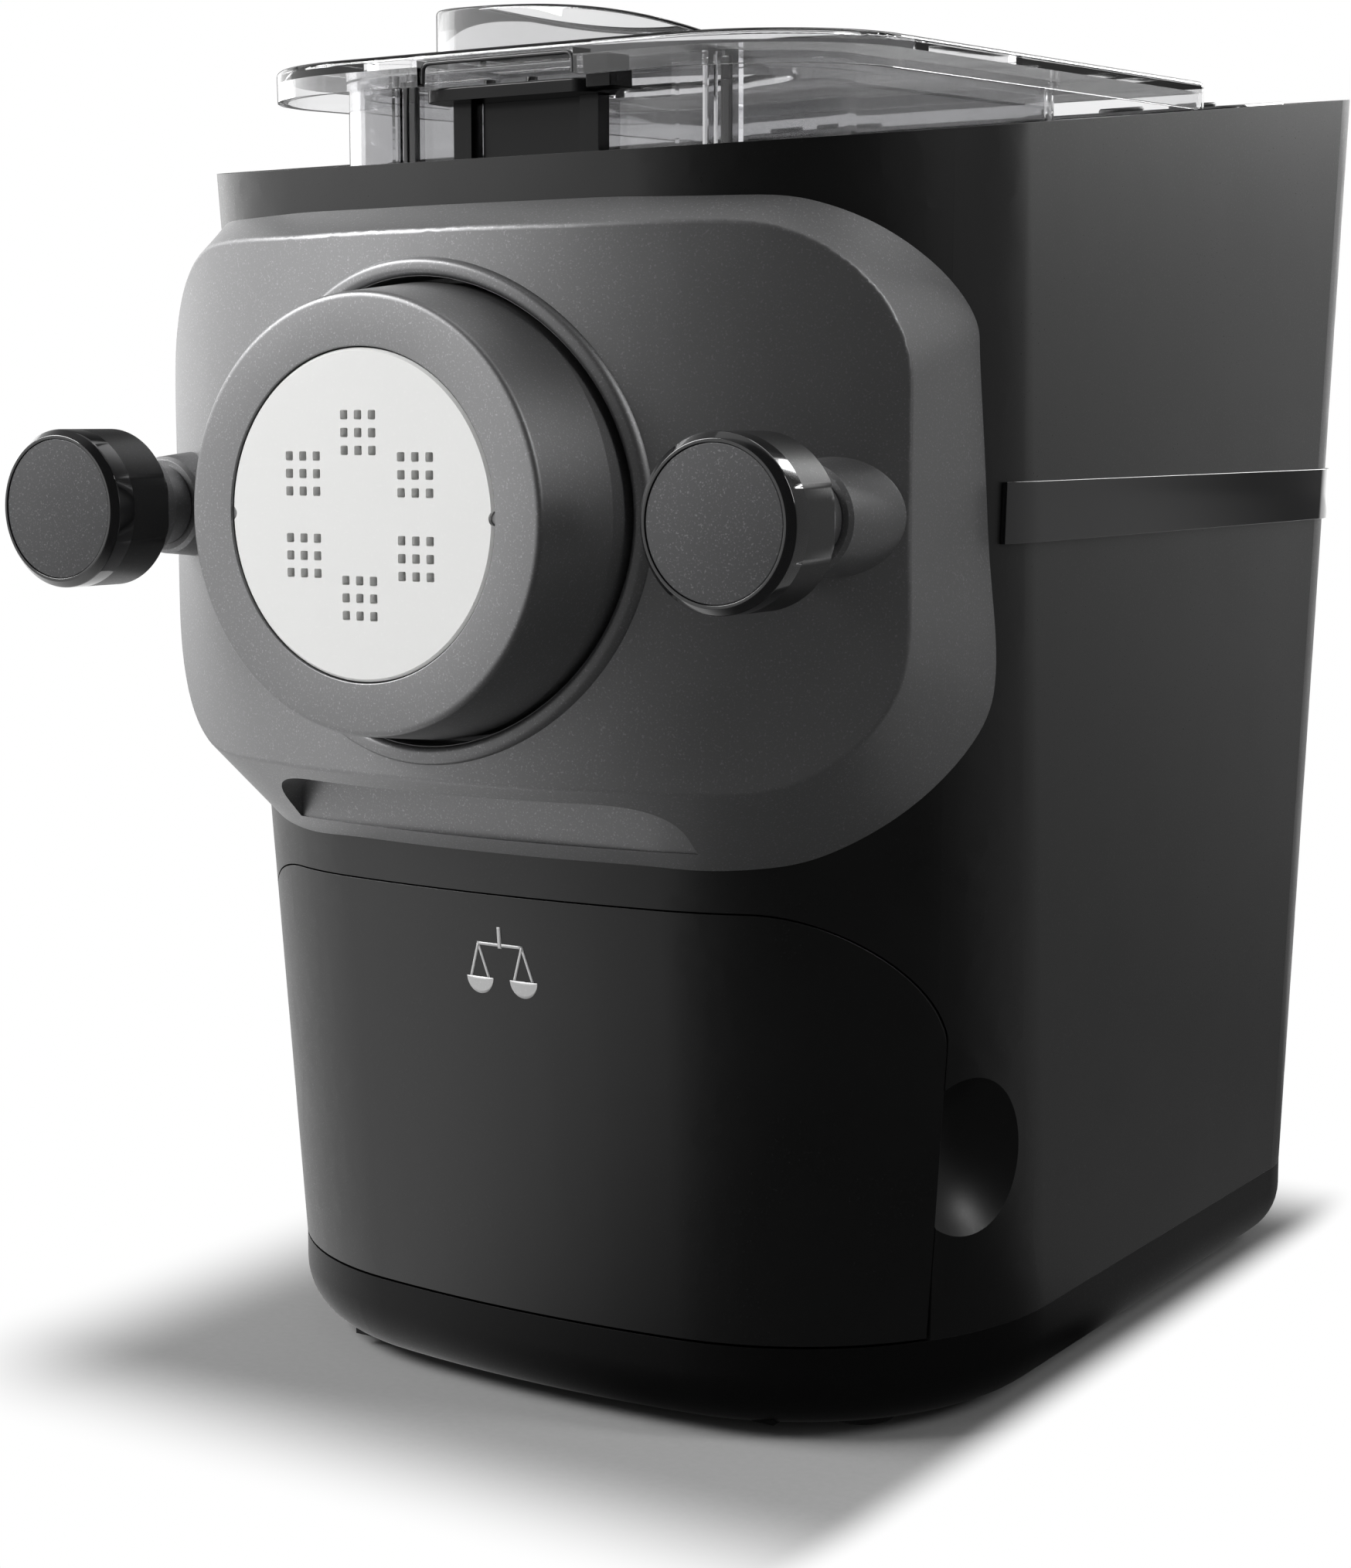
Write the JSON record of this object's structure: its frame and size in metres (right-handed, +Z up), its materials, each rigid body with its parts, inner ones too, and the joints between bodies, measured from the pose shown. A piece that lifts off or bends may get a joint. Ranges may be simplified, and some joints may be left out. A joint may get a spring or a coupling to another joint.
{
  "type": "electric pasta maker",
  "caption": "Electric pasta maker: tapered matt housing, bowed front panel with shaping disc and screw knobs, clear mixing chamber and lid with funnel, pull-out drawer.",
  "frame": {"origin": "middle of the machine's outer box, on the worktop under the feet", "axes": "+X to the right seen from the front, +Y to the rear, so the front faces -Y, +Z up"},
  "size_m": [0.2188, 0.3408, 0.3475],
  "materials": {
    "panel_graphite": "satin gun-metal with a fine metallic grain",
    "housing_black": "matte black, finely speckled",
    "trim_gloss": "polished black",
    "knob_black": "satin black with a polished rim",
    "disc_white": "off-white, satin",
    "clear_smoke": "lightly smoked transparent plastic",
    "steel": "turned",
    "brass_bush": "turned",
    "rubber_black": "matte",
    "display_black": "polished",
    "frame_grey": "plain moulded",
    "gear_white": "moulded acetal",
    "case_metal": "die cast",
    "motor_metal": "zinc plated",
    "board_green": "lacquered board",
    "box_grey": "satin",
    "dough_white": "food-safe white"
  },
  "bodies": {
    "housing": {"housing_front": "housing_black", "stud_bushes": "brass_bush", "side_left": "housing_black", "side_right": "housing_black", "gloss_band": "trim_gloss", "rear_cover": "housing_black", "base_tray": "housing_black", "feet": "rubber_black", "load_cells": "steel", "drawer_deck": "frame_grey", "chassis": "frame_grey", "top_deck": "housing_black", "control_bezel": "trim_gloss", "display_glass": "display_black", "control_board": "board_green", "gearbox_case": "case_metal", "bearings": "steel", "motor": "motor_metal", "main_board": "board_green", "cord_gland": "rubber_black", "switch_frame": "trim_gloss", "base_screws": "steel"},
    "front_panel": {"front_panel": "panel_graphite", "die_holder": "panel_graphite"},
    "disc": {"shaping_disc": "disc_white"},
    "knob_left": {"knob_left_head": "knob_black", "knob_left_cap": "knob_black", "knob_left_stem": "steel"},
    "knob_right": {"knob_right_head": "knob_black", "knob_right_cap": "knob_black", "knob_right_stem": "steel"},
    "button_1": {"button_1": "knob_black"},
    "button_2": {"button_2": "knob_black"},
    "button_3": {"button_3": "knob_black"},
    "button_4": {"button_4": "knob_black"},
    "drawer": {"drawer_front": "housing_black", "drawer_box": "box_grey"},
    "chamber": {"mixing_chamber": "clear_smoke", "shaft_seal": "rubber_black", "extrusion_tube": "dough_white", "chamber_handle": "trim_gloss"},
    "kneader": {"extruder_screw": "dough_white", "mixing_paddle": "dough_white"},
    "lid": {"lid": "clear_smoke", "lid_funnel": "clear_smoke", "lid_catch": "trim_gloss"},
    "drive": {"drive_shaft": "steel", "output_gear": "gear_white"},
    "idler": {"idler_gears": "gear_white"},
    "rotor": {"motor_rotor": "steel", "cooling_fan": "frame_grey"},
    "switch_rocker": {"mains_switch": "knob_black"}
  },
  "joints": [
    {"name": "front_panel_pull", "type": "slide", "parent": "housing", "child": "front_panel", "axis": [0, -1, 0], "range_m": [0, 0.08]},
    {"name": "disc_pull", "type": "slide", "parent": "front_panel", "child": "disc", "axis": [0, -1, 0], "range_m": [0, 0.03]},
    {"name": "knob_left_turn", "type": "hinge", "parent": "front_panel", "child": "knob_left", "pos_m": [-0.09075, -0.13844, 0.2178], "axis": [0, 1, 0], "continuous": true},
    {"name": "knob_right_turn", "type": "hinge", "parent": "front_panel", "child": "knob_right", "pos_m": [0.09075, -0.13844, 0.2178], "axis": [0, 1, 0], "continuous": true},
    {"name": "drawer_slide", "type": "slide", "parent": "housing", "child": "drawer", "axis": [0, -1, 0], "range_m": [0, 0.12]},
    {"name": "chamber_lift", "type": "slide", "parent": "housing", "child": "chamber", "axis": [0, 0, 1], "range_m": [0, 0.08]},
    {"name": "lid_lift", "type": "slide", "parent": "chamber", "child": "lid", "axis": [0, 0, 1], "range_m": [0, 0.06]},
    {"name": "kneader_spin", "type": "hinge", "parent": "chamber", "child": "kneader", "pos_m": [0, -0.03844, 0.2178], "axis": [0, 1, 0], "continuous": true},
    {"name": "drive_spin", "type": "hinge", "parent": "housing", "child": "drive", "pos_m": [0, 0.06156, 0.2178], "axis": [0, 1, 0], "continuous": true},
    {"name": "idler_spin", "type": "hinge", "parent": "housing", "child": "idler", "pos_m": [0, 0.06156, 0.1623], "axis": [0, 1, 0], "continuous": true},
    {"name": "motor_spin", "type": "hinge", "parent": "housing", "child": "rotor", "pos_m": [0, 0.06156, 0.1173], "axis": [0, 1, 0], "continuous": true},
    {"name": "switch_rock", "type": "hinge", "parent": "housing", "child": "switch_rocker", "pos_m": [0.062, 0.14356, 0.052], "axis": [1, 0, 0], "range_deg": [-7, 7]},
    {"name": "button_1_press", "type": "slide", "parent": "housing", "child": "button_1", "axis": [0, 0.1162, -0.9932], "range_m": [0, 0.0012], "stiffness_N_per_m": 600, "springref_m": -0.0005},
    {"name": "button_2_press", "type": "slide", "parent": "housing", "child": "button_2", "axis": [0, 0.1162, -0.9932], "range_m": [0, 0.0012], "stiffness_N_per_m": 600, "springref_m": -0.0005},
    {"name": "button_3_press", "type": "slide", "parent": "housing", "child": "button_3", "axis": [0, 0.1162, -0.9932], "range_m": [0, 0.0012], "stiffness_N_per_m": 600, "springref_m": -0.0005},
    {"name": "button_4_press", "type": "slide", "parent": "housing", "child": "button_4", "axis": [0, 0.1162, -0.9932], "range_m": [0, 0.0012], "stiffness_N_per_m": 600, "springref_m": -0.0005}
  ],
  "couplings": [
    {"joint": "kneader_spin", "follows": "drive_spin", "ratio": 1},
    {"joint": "idler_spin", "follows": "drive_spin", "ratio": -4.2857},
    {"joint": "motor_spin", "follows": "drive_spin", "ratio": 17.143}
  ]
}
